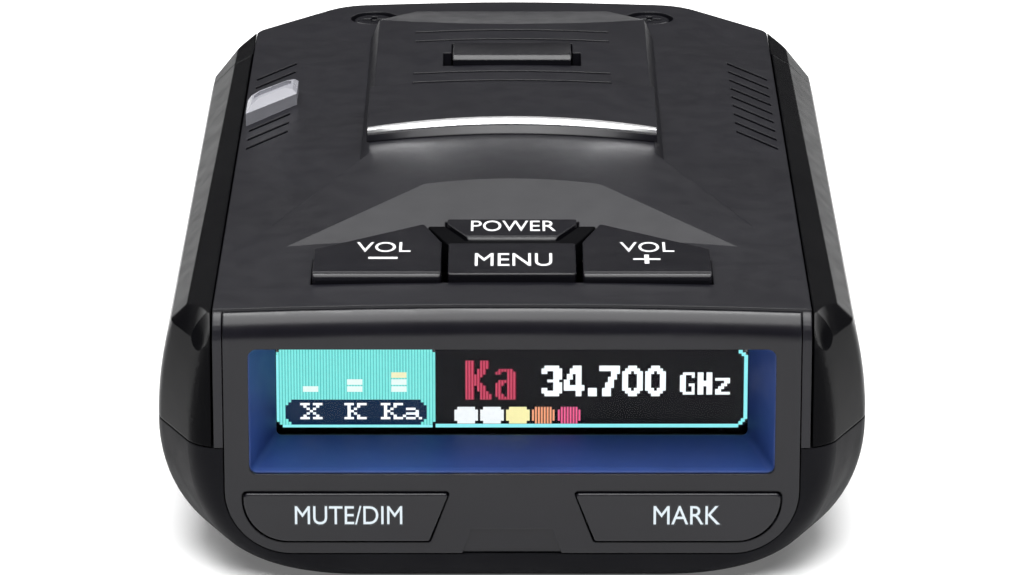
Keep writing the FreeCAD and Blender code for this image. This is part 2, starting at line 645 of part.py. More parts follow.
def release_key():
    """Push key on the spine; pressing it pulls the tooth out of the bracket's blade."""
    side = [V(-6.5, 22.8, 28.5), V(-6.5, 22.8, 30.9), V(-6.5, 23.25, 31.35), V(-6.5, 31.5, 30.45),
            V(-6.5, 31.5, 28.5), V(-6.5, 22.8, 28.5)]
    cap = Part.Face(Part.makePolygon(side)).extrude(V(13, 0, 0))
    legs = [box(5.45, 6.4, 26.0, 30.0, 20.5, 28.6), box(-6.4, -5.45, 26.0, 30.0, 20.5, 28.6)]
    bar = box(-6.4, 6.4, 26.0, 30.0, 20.5, 21.9)
    tooth = Part.Face(Part.makePolygon([V(-2, 28.0, 21.8), V(-2, 30.0, 21.8), V(-2, 30.0, 23.1),
                                        V(-2, 28.6, 24.7), V(-2, 28.0, 24.7), V(-2, 28.0, 21.8)]))
    return join([cap, bar, tooth.extrude(V(4, 0, 0))] + legs)


def release_spring():
    wire_r, coil_r, turns = 0.2, 1.8, 6
    height = SPRING_Z1 - SPRING_Z0 - 2 * wire_r
    helix = Part.makeHelix(height / turns, height, coil_r)
    ring_wire = Part.Wire([Part.Circle(V(coil_r, 0, 0), V(0, 1, 0), wire_r).toShape()])
    coil = Part.Wire(helix.Edges).makePipeShell([ring_wire], True, True)
    coil.translate(V(0, SPRING_Y, SPRING_Z0 + wire_r))
    return coil


# ---- display and boards --------------------------------------------------------------------
def front_plate(half_x, z0, z1, y0, y1):
    return box(-half_x, half_x, y0, y1, z0, z1)


def display_gasket():
    return front_plate(24.4, 11.9, 24.2, -49.97, -49.5).cut(front_plate(23.3, 12.9, 23.3, -51, -48))


def display_window():
    return front_plate(24.4, 11.9, 24.2, -49.47, -48.7)


def oled_panel():
    return front_plate(24.2, 12.2, 23.8, -48.67, -47.3)


def oled_ribbon():
    return box(-6, 6, -47.28, -47.03, 9.5, 15.0)


def front_board():
    board = front_plate(25.0, 4.5, 24.0, FRONT_BOARD_Y, FRONT_BOARD_Y + 1.0)
    for x in (-25, 25):
        board = board.cut(box(min(x, x * 0.8), max(x, x * 0.8), -50, -40, 3, 5.5))
    return board


def board_connector():
    return box(-8, 8, -45.95, -42.0, 7.03, 10.2).cut(box(-7, 7, -43.5, -41, 8.0, 9.4))


def main_board():
    points = [(-27, -45.3), (27, -45.3), (27, 43), (21, 50), (-21, 50), (-27, 43)]
    board = prism(sharp(points), BOARD_Z, BOARD_Z + BOARD_T)
    for x, y in CASE_BOSSES + BOARD_SCREWS:
        board = board.cut(post(x, y, 0, 10, SCREW_HOLE_R))
    return board


def key_board():
    board = box(-21, 21, -45.85, -29.5, KEYBOARD_Z, KEYBOARD_Z + KEYBOARD_T)
    for x, y in KEYBOARD_SCREWS:
        board = board.cut(post(x, y, 0, 40, SCREW_HOLE_R))
    return board


def key_board_ribbon():
    return box(-6, 6, -38.2, -37.9, 7.03, KEYBOARD_Z - 0.02)


def horn_antenna():
    """Microwave horn looking out of the road end."""
    def throat(half_x, z0, z1, y):
        corners = sharp([(-5.5 - half_x, z0), (-5.5 + half_x, z0), (-5.5 + half_x, z1), (-5.5 - half_x, z1)])
        return rounded_wire(corners, lambda x, z: V(x, y, z))
    outer = Part.makeLoft([throat(5.5, 7.05, 17.5, 34.0), throat(11.4, 7.05, 20.8, 53.6)], True, True)
    inner = Part.makeLoft([throat(4.3, 8.6, 16.3, 35.4), throat(10.4, 8.0, 19.8, 53.7)], True, True)
    return outer.cut(inner)


def rf_shield():
    can = box(-12, 12, -5, 30, 7.05, 13.0)
    can = can.cut(box(-11.5, 11.5, -4.5, 29.5, 7.0, 12.5))
    dimples = [post(x, y, 12.7, 14, 0.7) for x in (-8, 0, 8) for y in (2, 12, 22)]
    for dimple in dimples:
        can = can.cut(dimple)
    return can


def front_laser_sensor():
    return join([box(9.5, 13.5, 44.5, 48.0, 7.05, 15.0), box(7.6, 15.4, 44.5, 50.5, 14.5, 21.8),
                 rod(11.5, 50.4, 18.2, 2.6, 2.7, (0, 1, 0))])


def rear_laser_sensor():
    return join([box(-26.9, -25.9, 14.0, 20.0, 7.05, 26.2), box(-26.0, -22.6, 15.0, 19.0, 23.2, 26.2),
                 rod(-23.6, 17.0, 24.6, 1.1, 2.0, (1, 0, 0))])


def speaker():
    """Small moving-coil speaker under the right vents."""
    basket = post(16.8, 12.0, 22.8, 26.2, 9.7)
    cone_room = Part.makeCone(5.0, 8.6, 2.2, V(16.8, 12.0, 24.1), V(0, 0, 1))
    magnet = post(16.8, 12.0, 20.4, 22.9, 5.2)
    return join([basket, magnet]).cut(cone_room)


def gps_antenna():
    return box(-24.5, -9.5, -21.5, -6.5, 22.0, 26.2)


def power_jack():
    """Square modular socket for the power lead, open to the left."""
    body = box(-33.6, -20.0, POWER_JACK_Y[0], POWER_JACK_Y[1], 7.05, 15.9)
    return body.cut(box(-35, -22.4, -27.35, -17.65, 8.2, 14.9))


def power_jack_contacts():
    pins = [box(-31.5, -22.42, y - 0.2, y + 0.2, 14.55, 14.87) for y in (-24.4, -23.1, -21.9, -20.6)]
    return Part.makeCompound(pins)


def audio_jack():
    y, z = AUDIO_AXIS
    body = box(21.5, 31.2, y - 3.4, y + 3.4, 7.05, 12.6)
    body = body.fuse(rod(31.0, y, z, 2.6, 3.2, (1, 0, 0)))
    return body.cut(rod(23.2, y, z, 1.8, 14, (1, 0, 0))).removeSplitter()


def usb_port():
    y0, y1 = USB_Y
    can = box(25.5, 33.6, y0, y1, 7.05, 10.95)
    can = can.cut(box(26.3, 40, y0 + 0.4, y1 - 0.4, 7.45, 10.55))
    middle = (y0 + y1) / 2
    return can.fuse(box(26.2, 32.2, middle - 2.4, middle + 2.4, 8.7, 9.4)).removeSplitter()


# ---- all nodes -------------------------------------------------------------------------------
def build():
    whole_core = core(DECK_Z, 0.0)
    raised = hood()
    mute = front_key()
    mute_stem = front_stem()
    volume_down = volume_down_key()
    return {
        "top_shell": top_shell(whole_core, raised),
        "bottom_shell": bottom_shell(),
        "display_bezel": display_bezel(),
        "side_panel_left": side_panel(-1),
        "side_panel_right": side_panel(1),
        "windshield_fascia": windshield_fascia(),
        "laser_lens_window": laser_lens_window(),
        "recess_liner": recess_liner(),
        "display_gasket": display_gasket(),
        "display_window": display_window(),
        "oled_panel": oled_panel(),
        "oled_ribbon": oled_ribbon(),
        "front_board": front_board(),
        "volume_down_key": volume_down,
        "volume_down_stem": key_stem(TOP_SWITCHES["volume_down"]),
        "volume_up_key": mirror_x(volume_down),
        "volume_up_stem": key_stem(TOP_SWITCHES["volume_up"]),
        "menu_key": menu_key(),
        "menu_stem": key_stem(TOP_SWITCHES["menu"]),
        "power_key": power_key(),
        "power_stem": key_stem(TOP_SWITCHES["power"]),
        "mute_key": mute,
        "mute_stem": mute_stem,
        "mark_key": mirror_x(mute),
        "mark_stem": mirror_x(mute_stem),
        "key_frame": key_frame(),
        "key_switches": key_switches(),
        "front_switches": front_switches(),
        "key_lamps": key_lamps(),
        "front_lamps": front_lamps(),
        "key_board": key_board(),
        "key_board_screws": key_board_screws(),
        "key_board_ribbon": key_board_ribbon(),
        "badge_plate": badge_plate(),
        "badge_trim": badge_trim(),
        "rear_laser_prism": rear_laser_prism(whole_core),
        "rear_laser_sensor": rear_laser_sensor(),
        "top_screws": top_screws(),
        "bracket_guide": bracket_guide(),
        "release_key": release_key(),
        "release_spring": release_spring(),
        "main_board": main_board(),
        "board_screws": board_screws(),
        "board_connector": board_connector(),
        "case_screws": case_screws(),
        "horn_antenna": horn_antenna(),
        "rf_shield": rf_shield(),
        "front_laser_sensor": front_laser_sensor(),
        "speaker": speaker(),
        "gps_antenna": gps_antenna(),
        "power_jack": power_jack(),
        "power_jack_contacts": power_jack_contacts(),
        "audio_jack": audio_jack(),
        "usb_port": usb_port(),
        "bottom_label": bottom_label(),
    }


def main():
    os.makedirs("parts", exist_ok=True)
    for name, shape in build().items():
        shape.exportStep(f"parts/{name}.step")
        print(f"{name:22s} valid {shape.isValid()} solids {len(shape.Solids)} volume {shape.Volume:9.2f}")


main()
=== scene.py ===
"""Looks for the radar detector: finishes, softened edges, lit display, legends, floor, light and camera."""
import json
import math

import bmesh
import bpy
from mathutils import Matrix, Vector


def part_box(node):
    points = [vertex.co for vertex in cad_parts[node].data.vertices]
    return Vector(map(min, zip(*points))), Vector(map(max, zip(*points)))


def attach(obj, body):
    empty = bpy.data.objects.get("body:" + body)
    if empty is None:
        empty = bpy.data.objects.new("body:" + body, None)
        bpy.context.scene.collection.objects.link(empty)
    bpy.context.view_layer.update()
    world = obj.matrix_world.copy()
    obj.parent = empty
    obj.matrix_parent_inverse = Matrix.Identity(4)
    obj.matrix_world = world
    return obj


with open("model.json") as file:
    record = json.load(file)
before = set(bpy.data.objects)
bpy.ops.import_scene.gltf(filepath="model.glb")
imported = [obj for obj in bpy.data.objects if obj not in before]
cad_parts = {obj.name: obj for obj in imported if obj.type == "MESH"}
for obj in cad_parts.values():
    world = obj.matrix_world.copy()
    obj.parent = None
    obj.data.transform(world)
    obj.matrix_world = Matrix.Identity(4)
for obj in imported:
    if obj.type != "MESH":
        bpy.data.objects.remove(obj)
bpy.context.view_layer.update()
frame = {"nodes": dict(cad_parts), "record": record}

MM = 0.001
EDGE_RADIUS = 0.22 * MM        # rounding that the shaders give to every edge
EDGE_SAMPLES = 6
WELD_DISTANCE = 0.0005 * MM
FLAT_ANGLE = math.radians(0.05)
SHARP_ANGLE = math.radians(18.0)
HOME = "housing"
nodes_by_name = frame["nodes"]


# ---- material helpers -----------------------------------------------------------------
def new_material(name):
    material = bpy.data.materials.new(name)
    material.use_nodes = True
    tree = material.node_tree
    return material, tree.nodes, tree.links, tree.nodes["Principled BSDF"]


def coordinates(nodes, links, stretch=(1.0, 1.0, 1.0)):
    """Object-space coordinates in metres, optionally stretched."""
    source = nodes.new("ShaderNodeTexCoord")
    mapping = nodes.new("ShaderNodeMapping")
    mapping.inputs["Scale"].default_value = stretch
    links.new(source.outputs["Object"], mapping.inputs["Vector"])
    return mapping.outputs["Vector"]


def noise(nodes, links, vector, scale, detail=3.0, roughness=0.5):
    node = nodes.new("ShaderNodeTexNoise")
    node.inputs["Scale"].default_value = scale
    node.inputs["Detail"].default_value = detail
    node.inputs["Roughness"].default_value = roughness
    links.new(vector, node.inputs["Vector"])
    return node.outputs["Fac"]


def remap(nodes, links, value, low, high, from_low=0.3, from_high=0.7):
    node = nodes.new("ShaderNodeMapRange")
    node.inputs["From Min"].default_value = from_low
    node.inputs["From Max"].default_value = from_high
    node.inputs["To Min"].default_value = low
    node.inputs["To Max"].default_value = high
    links.new(value, node.inputs["Value"])
    return node.outputs["Result"]


def ramp(nodes, links, value, stops):
    """Colour ramp; stops are (position, (r, g, b))."""
    node = nodes.new("ShaderNodeValToRGB")
    elements = node.color_ramp.elements
    while len(elements) < len(stops):
        elements.new(0.5)
    for element, (position, colour) in zip(elements, stops):
        element.position = position
        element.color = (*colour, 1.0)
    links.new(value, node.inputs["Fac"])
    return node.outputs["Color"]


def bump(nodes, links, shader, height, strength, distance):
    """Bump over softly rounded edges."""
    edge = nodes.new("ShaderNodeBevel")
    edge.samples = EDGE_SAMPLES
    edge.inputs["Radius"].default_value = EDGE_RADIUS
    node = nodes.new("ShaderNodeBump")
    links.new(edge.outputs["Normal"], node.inputs["Normal"])
    node.inputs["Strength"].default_value = strength
    node.inputs["Distance"].default_value = distance
    links.new(height, node.inputs["Height"])
    links.new(node.outputs["Normal"], shader.inputs["Normal"])


def moulded(name, dark, light, rough, grain, depth, specular=0.5, coat=0.0, ior=1.5):
    """Moulded plastic: clouded colour, uneven sheen and a fine spark-eroded grain."""
    material, nodes, links, shader = new_material(name)
    vector = coordinates(nodes, links)
    cloud = noise(nodes, links, vector, 90.0, 4.0)
    links.new(ramp(nodes, links, cloud, [(0.35, dark), (0.65, light)]), shader.inputs["Base Color"])
    sheen = noise(nodes, links, vector, 420.0, 5.0)
    links.new(remap(nodes, links, sheen, rough[0], rough[1]), shader.inputs["Roughness"])
    texture = noise(nodes, links, vector, grain, 2.0, 0.65)
    bump(nodes, links, shader, texture, 0.6, depth * MM)
    shader.inputs["Specular IOR Level"].default_value = specular
    shader.inputs["IOR"].default_value = ior
    shader.inputs["Coat Weight"].default_value = coat
    shader.inputs["Coat Roughness"].default_value = 0.12
    return material


def metal(name, dark, light, rough, stretch, scale, depth=0.004):
    """Plated or brushed metal with a streaked sheen."""
    material, nodes, links, shader = new_material(name)
    vector = coordinates(nodes, links, stretch)
    streaks = noise(nodes, links, vector, scale, 4.0)
    links.new(ramp(nodes, links, streaks, [(0.3, dark), (0.7, light)]), shader.inputs["Base Color"])
    links.new(remap(nodes, links, streaks, rough[0], rough[1]), shader.inputs["Roughness"])
    bump(nodes, links, shader, streaks, 0.3, depth * MM)
    shader.inputs["Metallic"].default_value = 1.0
    return material


def clear(name, tint, rough, ior, transmission=1.0):
    """Transparent or milky moulding with a faint haze."""
    material, nodes, links, shader = new_material(name)
    vector = coordinates(nodes, links)
    haze = noise(nodes, links, vector, 300.0, 3.0)
    links.new(remap(nodes, links, haze, rough[0], rough[1]), shader.inputs["Roughness"])
    links.new(ramp(nodes, links, haze, [(0.3, tint), (0.7, tuple(min(1.0, c * 1.04) for c in tint))]),
              shader.inputs["Base Color"])
    shader.inputs["Transmission Weight"].default_value = transmission
    shader.inputs["IOR"].default_value = ior
    return material


def circuit_board(name, mask, track):
    """Solder mask with raised tracks and plated pads."""
    material, nodes, links, shader = new_material(name)
    vector = coordinates(nodes, links)
    bricks = nodes.new("ShaderNodeTexBrick")
    bricks.inputs["Scale"].default_value = 160.0
    bricks.inputs["Mortar Size"].default_value = 0.012
    bricks.inputs["Color1"].default_value = (*mask, 1.0)
    bricks.inputs["Color2"].default_value = (*[c * 0.8 for c in mask], 1.0)
    bricks.inputs["Mortar"].default_value = (*track, 1.0)
    links.new(vector, bricks.inputs["Vector"])
    links.new(bricks.outputs["Color"], shader.inputs["Base Color"])
    sheen = noise(nodes, links, vector, 600.0)
    links.new(remap(nodes, links, sheen, 0.3, 0.45), shader.inputs["Roughness"])
    bump(nodes, links, shader, bricks.outputs["Fac"], 0.4, 0.02 * MM)
    return material


def glow(name, colour, strength):
    """Lit display colour, very slightly uneven; also used for the painted glow of the front key legends."""
    material, nodes, links, shader = new_material(name)
    grain = noise(nodes, links, coordinates(nodes, links), 2600.0, 1.0)
    tone = ramp(nodes, links, grain, [(0.35, tuple(c * 0.97 for c in colour)), (0.6, colour)])
    links.new(tone, shader.inputs["Emission Color"])
    shader.inputs["Emission Strength"].default_value = strength
    shader.inputs["Base Color"].default_value = (0.002, 0.002, 0.002, 1.0)
    shader.inputs["Specular IOR Level"].default_value = 0.0
    return material


# ---- finishes ---------------------------------------------------------------------------
CHARCOAL = ((0.0062, 0.0060, 0.0084), (0.0076, 0.0074, 0.0102))
FINISHES = {
    "cover_black": moulded("cover_black_finish", *CHARCOAL, (0.30, 0.36), 7000.0, 0.008, 0.25),
    "bezel_black": moulded("bezel_black_finish", (0.0050, 0.0048, 0.0068), (0.0062, 0.0060, 0.0084),
                           (0.22, 0.27), 9000.0, 0.003, 0.26),
    "key_black": moulded("key_black_finish", (0.0050, 0.0048, 0.0068), (0.0062, 0.0060, 0.0084), (0.22, 0.27),
                         9000.0, 0.004, 0.28),
    "panel_gloss": moulded("panel_gloss_finish", (0.0025, 0.0025, 0.003), (0.0035, 0.0035, 0.004),
                           (0.20, 0.26), 3000.0, 0.0001, 0.5, 0.0, 1.07),
    "tub_black": moulded("tub_black_finish", (0.0060, 0.0060, 0.0072), (0.0080, 0.0080, 0.0094), (0.42, 0.50),
                         7000.0, 0.010, 0.5, 0.0, 1.09),
    # The liner's bright navy base colour is partly its own dark blue and partly a painted reflection of the
    # display's blue light.
    "liner_gloss": moulded("liner_navy_and_painted_display_glow_finish", (0.012, 0.036, 0.150), (0.015, 0.044, 0.185), (0.50, 0.58),
                           4000.0, 0.001, 0.4),
    "lens_dark": moulded("lens_dark_finish", (0.010, 0.001, 0.002), (0.014, 0.002, 0.003), (0.05, 0.08),
                         1500.0, 0.0005, 0.5, 0.5),
    "window_clear": clear("window_clear_finish", (0.97, 0.98, 0.99), (0.0, 0.01), 1.12),
    "prism_clear": clear("prism_clear_finish", (0.42, 0.42, 0.46), (0.22, 0.30), 1.45, 0.35),
    "trim_chrome": metal("trim_chrome_finish", (0.90, 0.90, 0.91), (0.96, 0.96, 0.97), (0.34, 0.42),
                         (1.0, 8.0, 8.0), 900.0, 0.0005),
    "screen_glass": moulded("screen_glass_finish", (0.004, 0.004, 0.006), (0.005, 0.005, 0.008), (0.10, 0.14),
                            1500.0, 0.0003, 0.4),
    "seal_rubber": moulded("seal_rubber_finish", (0.008, 0.008, 0.008), (0.012, 0.012, 0.012), (0.7, 0.85),
                           5000.0, 0.02, 0.3),
    "board_green": circuit_board("board_green_finish", (0.01, 0.09, 0.035), (0.05, 0.26, 0.10)),
    "ribbon_amber": moulded("ribbon_amber_finish", (0.36, 0.16, 0.02), (0.46, 0.22, 0.04), (0.25, 0.35),
                            2000.0, 0.002, 0.5),
    "switch_black": moulded("switch_black_finish", (0.012, 0.012, 0.012), (0.018, 0.018, 0.018), (0.45, 0.6),
                            6000.0, 0.006, 0.4),
    "stem_white": moulded("stem_white_finish", (0.66, 0.66, 0.63), (0.74, 0.74, 0.71), (0.4, 0.5), 5000.0,
                          0.003, 0.5),
    "screw_steel": metal("screw_steel_finish", (0.42, 0.42, 0.44), (0.60, 0.60, 0.62), (0.22, 0.36),
                         (1.0, 1.0, 1.0), 1800.0),
    "guide_plastic": moulded("guide_plastic_finish", (0.010, 0.010, 0.011), (0.015, 0.015, 0.016),
                             (0.45, 0.6), 5000.0, 0.01, 0.4),
    "shield_tin": metal("shield_tin_finish", (0.52, 0.52, 0.50), (0.68, 0.68, 0.65), (0.28, 0.42),
                        (1.0, 1.0, 1.0), 1200.0),
    "patch_ceramic": moulded("patch_ceramic_finish", (0.52, 0.44, 0.30), (0.60, 0.52, 0.36), (0.35, 0.5),
                             3000.0, 0.004, 0.4),
    "contact_gold": metal("contact_gold_finish", (0.72, 0.50, 0.16), (0.85, 0.63, 0.24), (0.15, 0.25),
                          (1.0, 6.0, 6.0), 1500.0),
    "label_grey": moulded("label_grey_finish", (0.24, 0.24, 0.25), (0.28, 0.28, 0.29), (0.3, 0.4), 2500.0,
                          0.002, 0.5),
}

SLOT_OF = {entry["node"]: entry["material_slot"] for entry in frame["record"]["subparts"]}

# Finishes that differ from the node's own material slot.
FINISH_OF = {"top_screws": "key_black", "bottom_shell": "tub_black"}

CREASED = ("top_shell", "side_panel_left", "side_panel_right")
CREASE = 6.5                               # degrees; shallower joins stay smooth

# Edge softening in mm, for the small pieces whose edges show.
SOFT_EDGE = {
    "display_bezel": 0.15, "key_frame": 0.18, "badge_plate": 0.15, "volume_down_key": 0.12,
    "volume_up_key": 0.12, "menu_key": 0.10, "power_key": 0.12, "mute_key": 0.08, "mark_key": 0.08,
}


def flatten(piece):
    """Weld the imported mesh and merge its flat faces."""
    weld = piece.modifiers.new("weld", "WELD")
    weld.merge_threshold = WELD_DISTANCE
    merge = piece.modifiers.new("flatten", "DECIMATE")
    merge.decimate_type = "DISSOLVE"
    merge.angle_limit = FLAT_ANGLE


def weigh_normals(piece, weight):
    normals = piece.modifiers.new("normals", "WEIGHTED_NORMAL")
    normals.keep_sharp = False
    normals.weight = weight


def soften(piece, width):
    """Round a small piece's sharp edges."""
    flatten(piece)
    edge = piece.modifiers.new("edge", "BEVEL")
    edge.width = width * MM
    edge.segments = 3
    edge.limit_method = "ANGLE"
    edge.angle_limit = SHARP_ANGLE
    edge.harden_normals = False
    weigh_normals(piece, 80)


def crease(piece):
    """Part a piece along its shallow creases, so that they don't shade as curves."""
    flatten(piece)
    part = piece.modifiers.new("part", "EDGE_SPLIT")
    part.split_angle = math.radians(CREASE)
    part.use_edge_sharp = False
    weigh_normals(piece, 60)


for node_name, piece in nodes_by_name.items():
    piece.data.materials.clear()
    piece.data.materials.append(FINISHES[FINISH_OF.get(node_name, SLOT_OF[node_name])])
    if node_name in SOFT_EDGE:
        soften(piece, SOFT_EDGE[node_name])
    if node_name in CREASED:
        crease(piece)


# ---- mesh helpers -------------------------------------------------------------------------
def mesh_piece(name, vertices, faces, material, body=HOME):
    mesh = bpy.data.meshes.new(name)
    mesh.from_pydata(vertices, [], faces)
    mesh.update()
    piece = bpy.data.objects.new(name, mesh)
    bpy.context.scene.collection.objects.link(piece)
    mesh.materials.append(material)
    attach(piece, body)
    return piece


def add_box(vertices, faces, low, high):
    base = len(vertices)
    for x in (low[0], high[0]):
        for y in (low[1], high[1]):
            for z in (low[2], high[2]):
                vertices.append((x, y, z))
    for quad in ((0, 1, 3, 2), (4, 6, 7, 5), (0, 4, 5, 1), (2, 3, 7, 6), (0, 2, 6, 4), (1, 5, 7, 3)):
        faces.append(tuple(base + i for i in quad))


# ---- lit display ----------------------------------------------------------------------------
PITCH = 0.29 * MM                       # one display pixel
SCREEN_LEFT = -23.2 * MM
SCREEN_TOP = 21.45 * MM
SCREEN_COLUMNS, SCREEN_ROWS = 160, 28
panel_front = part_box("oled_panel")[0].y
LIT_FRONT, LIT_BACK = panel_front - 0.018 * MM, panel_front - 0.004 * MM

LETTERS = {
    "X": ["###.###", ".#...#.", "..#.#..", "...#...", "..#.#..", ".#...#.", "###.###"],
    "K": ["###.###", ".#..#..", ".#.#...", ".##....", ".#.#...", ".#..#..", "###.###"],
    "a": [".###..", "....#.", ".####.", "#...#.", ".###.#"],
    "K_tall": ["###..###.", "###..###.", "###..###.", "###.###..", "###.###..", "######...", "#####....",
               "#####....", "######...", "###.###..", "###.###..", "###..###.", "###..####", "###..####"],
    "a_tall": [".#####.", "##..###", "....###", "....###", ".######", "###.###", "##..###", "##..###",
               "##..###", "###.###", ".######"],
    "3": [".#####.", "#######", "##..###", "....###", "....###", "..####.", "....###", "....###",
          "##..###", "#######", ".#####."],
    "4": ["...###.", "..####.", "..####.", ".##.##.", ".##.##.", "##..##.", "##..##.", "#######",
          "#######", "....##.", "....##."],
    "7": ["#######", "#######", "....###", "....##.", "...###.", "...##..", "..###..", "..###..",
          ".###...", ".###...", ".###..."],
    "0": ["..###..", ".#####.", "###.###", "##...##", "##...##", "##...##", "##...##", "##...##",
          "###.###", ".#####.", "..###.."],
    ".": ["###", "###", "###"],
    "G": [".####", "##..#", "##...", "##...", "##.##", "##..#", "##..#", ".####"],
    "H": ["##.##", "##.##", "##.##", "#####", "#####", "##.##", "##.##", "##.##"],
    "z": ["#####", "...##", "..##.", ".##..", "##...", "#####"],
}
BLOCK = [".######.", "########", "########", "########", "########", ".######."]


def screen_box(vertices, faces, column, row, wide, high, layer=0):
    x0 = SCREEN_LEFT + column * PITCH
    z1 = SCREEN_TOP - row * PITCH
    shift = -0.002 * MM * layer
    add_box(vertices, faces, (x0, LIT_FRONT + shift, z1 - high * PITCH), (x0 + wide * PITCH, LIT_BACK, z1))


def draw_letter(vertices, faces, rows, column, row, width=1.0, layer=0):
    """Each run of lit pixels in a row is one thin box."""
    for r, line in enumerate(rows):
        start = None
        for c, mark in enumerate(line + "."):
            if mark == "#" and start is None:
                start = c
            if mark != "#" and start is not None:
                screen_box(vertices, faces, column + start, row + r, (c - start) * width, 1.0, layer)
                start = None


def draw_columns(vertices, faces, rows, column, row, wide, layer=0):
    """Like draw_letter, but each pixel column is its own narrower strip."""
    for c in range(len(rows[0])):
        for r, line in enumerate(rows):
            if line[c] == "#":
                screen_box(vertices, faces, column + c, row + r, wide, 1.0, layer)


def screen_piece(name, draw, material):
    vertices, faces = [], []
    draw(vertices, faces)
    return mesh_piece(name, vertices, faces, material)


TEAL_COLUMNS = 54


def teal_rows(column):
    """First and last teal row of a column: the block's corners are stepped."""
    step = max(0, 2 - column, column - (TEAL_COLUMNS - 3))
    return max(0, step - 1), SCREEN_ROWS - step


def pill_step(column, first, last):
    return max(0, 2 - (column - first), 2 - (last - column))


def draw_teal_base(vertices, faces):
    for column in range(TEAL_COLUMNS):
        top, bottom = teal_rows(column)
        screen_box(vertices, faces, column, top, 1.0, bottom - top)


def draw_teal_columns(vertices, faces):
    for column in range(TEAL_COLUMNS):
        top, bottom = teal_rows(column)
        screen_box(vertices, faces, column + 0.2, top, 0.62, bottom - top, 1)


PILL = (3, 50, 18, 9)


def draw_pill(vertices, faces):
    first, last, top, high = PILL
    for column in range(first, last + 1):
        step = pill_step(column, first, last)
        screen_box(vertices, faces, column, top + step, 1.0, high - 2 * step, 2)


def draw_band_letters(vertices, faces):
    """Slim serif letters: their pixels are wider than they are high."""
    wide, high = 1.08, 0.84
    for letter, column, row in (("X", 8, 19.2), ("K", 23, 19.2), ("K", 35.4, 19.2), ("a", 42.9, 20.9)):
        for r, line in enumerate(LETTERS[letter]):
            for c, mark in enumerate(line):
                if mark == "#":
                    screen_box(vertices, faces, column + c * wide, row + r * high, wide, high, 3)


def draw_signal_bars(vertices, faces):
    for column, levels in ((9, 1), (24, 2), (39, 2)):
        for level in range(levels):
            screen_box(vertices, faces, column, 13.2 - 2.5 * level, 5.2, 2.0, 2)


def draw_top_bar(vertices, faces):
    screen_box(vertices, faces, 39, 13.2 - 5.0, 5.2, 2.0, 2)


def draw_frequency(vertices, faces):
    for letter, column in (("3", 90), ("4", 97.6), ("7", 109.6), ("0", 117.4), ("0", 125.2)):
        draw_letter(vertices, faces, LETTERS[letter], column, 5.8)
    draw_letter(vertices, faces, LETTERS["."], 105.8, 13.8)
    for letter, column, row in (("G", 137, 8.2), ("H", 143, 8.2), ("z", 149, 10.2)):
        draw_letter(vertices, faces, LETTERS[letter], column, row)


def draw_band_name(vertices, faces):
    draw_columns(vertices, faces, LETTERS["K_tall"], 64.2, 4, 0.62)
    draw_columns(vertices, faces, LETTERS["a_tall"], 74.4, 7, 0.62)


def draw_band_shade(vertices, faces):
    draw_columns(vertices, faces, LETTERS["K_tall"], 64.82, 4, 0.38)
    draw_columns(vertices, faces, LETTERS["a_tall"], 75.02, 7, 0.38)


def block_drawer(index, striped):
    def draw(vertices, faces):
        column = 60.4 + 8.8 * index
        if striped:
            draw_columns(vertices, faces, BLOCK, column, 20.6, 0.66)
        else:
            draw_letter(vertices, faces, BLOCK, column, 20.6)
    return draw


def draw_outline(vertices, faces):
    right = SCREEN_COLUMNS
    screen_box(vertices, faces, 2, SCREEN_ROWS - 0.9, TEAL_COLUMNS - 3, 0.9, 2)
    screen_box(vertices, faces, 0, 2, 0.8, SCREEN_ROWS - 4.5, 2)
    screen_box(vertices, faces, TEAL_COLUMNS, SCREEN_ROWS - 1.3, right - 3 - TEAL_COLUMNS, 1.3)
    screen_box(vertices, faces, right - 3, SCREEN_ROWS - 2.3, 1.4, 1.3)
    screen_box(vertices, faces, right - 2.2, SCREEN_ROWS - 3.3, 1.4, 1.3)
    screen_box(vertices, faces, right - 1.3, 2.0, 1.3, SCREEN_ROWS - 5.0)
    screen_box(vertices, faces, right - 2.2, 1.1, 1.4, 1.3)
    screen_box(vertices, faces, right - 3.2, 0.2, 1.4, 1.3)


def draw_dark_field(vertices, faces):
    screen_box(vertices, faces, TEAL_COLUMNS, 0, SCREEN_COLUMNS - TEAL_COLUMNS - 1.3, SCREEN_ROWS - 1.3, -1)


WHITE = (0.86, 0.90, 0.92)
TEAL = (0.19, 0.67, 0.63)
screen_piece("screen_dark_field", draw_dark_field, glow("screen_dark_glow", (0.0025, 0.0025, 0.004), 1.0))
screen_piece("screen_teal_base", draw_teal_base, glow("screen_teal_deep_glow", (0.09, 0.47, 0.45), 1.25))
screen_piece("screen_teal_columns", draw_teal_columns, glow("screen_teal_glow", TEAL, 1.3))
screen_piece("screen_band_pill", draw_pill, glow("screen_navy_glow", (0.004, 0.018, 0.055), 1.0))
screen_piece("screen_band_letters", draw_band_letters, glow("screen_white_glow", WHITE, 1.3))
screen_piece("screen_signal_bars", draw_signal_bars, glow("screen_bar_glow", (0.78, 0.92, 0.88), 1.1))
screen_piece("screen_top_bar", draw_top_bar, glow("screen_pale_yellow_glow", (0.85, 0.83, 0.52), 1.1))
screen_piece("screen_frequency", draw_frequency, glow("screen_digit_glow", WHITE, 1.25))
screen_piece("screen_band_name", draw_band_name, glow("screen_pink_glow", (0.66, 0.08, 0.15), 1.0))
screen_piece("screen_band_name_shade", draw_band_shade, glow("screen_red_glow", (0.26, 0.012, 0.04), 1.0))
BLOCK_COLOURS = [("white", WHITE, False), ("white_2", WHITE, False), ("yellow", (0.90, 0.84, 0.42), False),
                 ("orange", (0.88, 0.36, 0.20), True), ("rose", (0.80, 0.12, 0.28), True)]
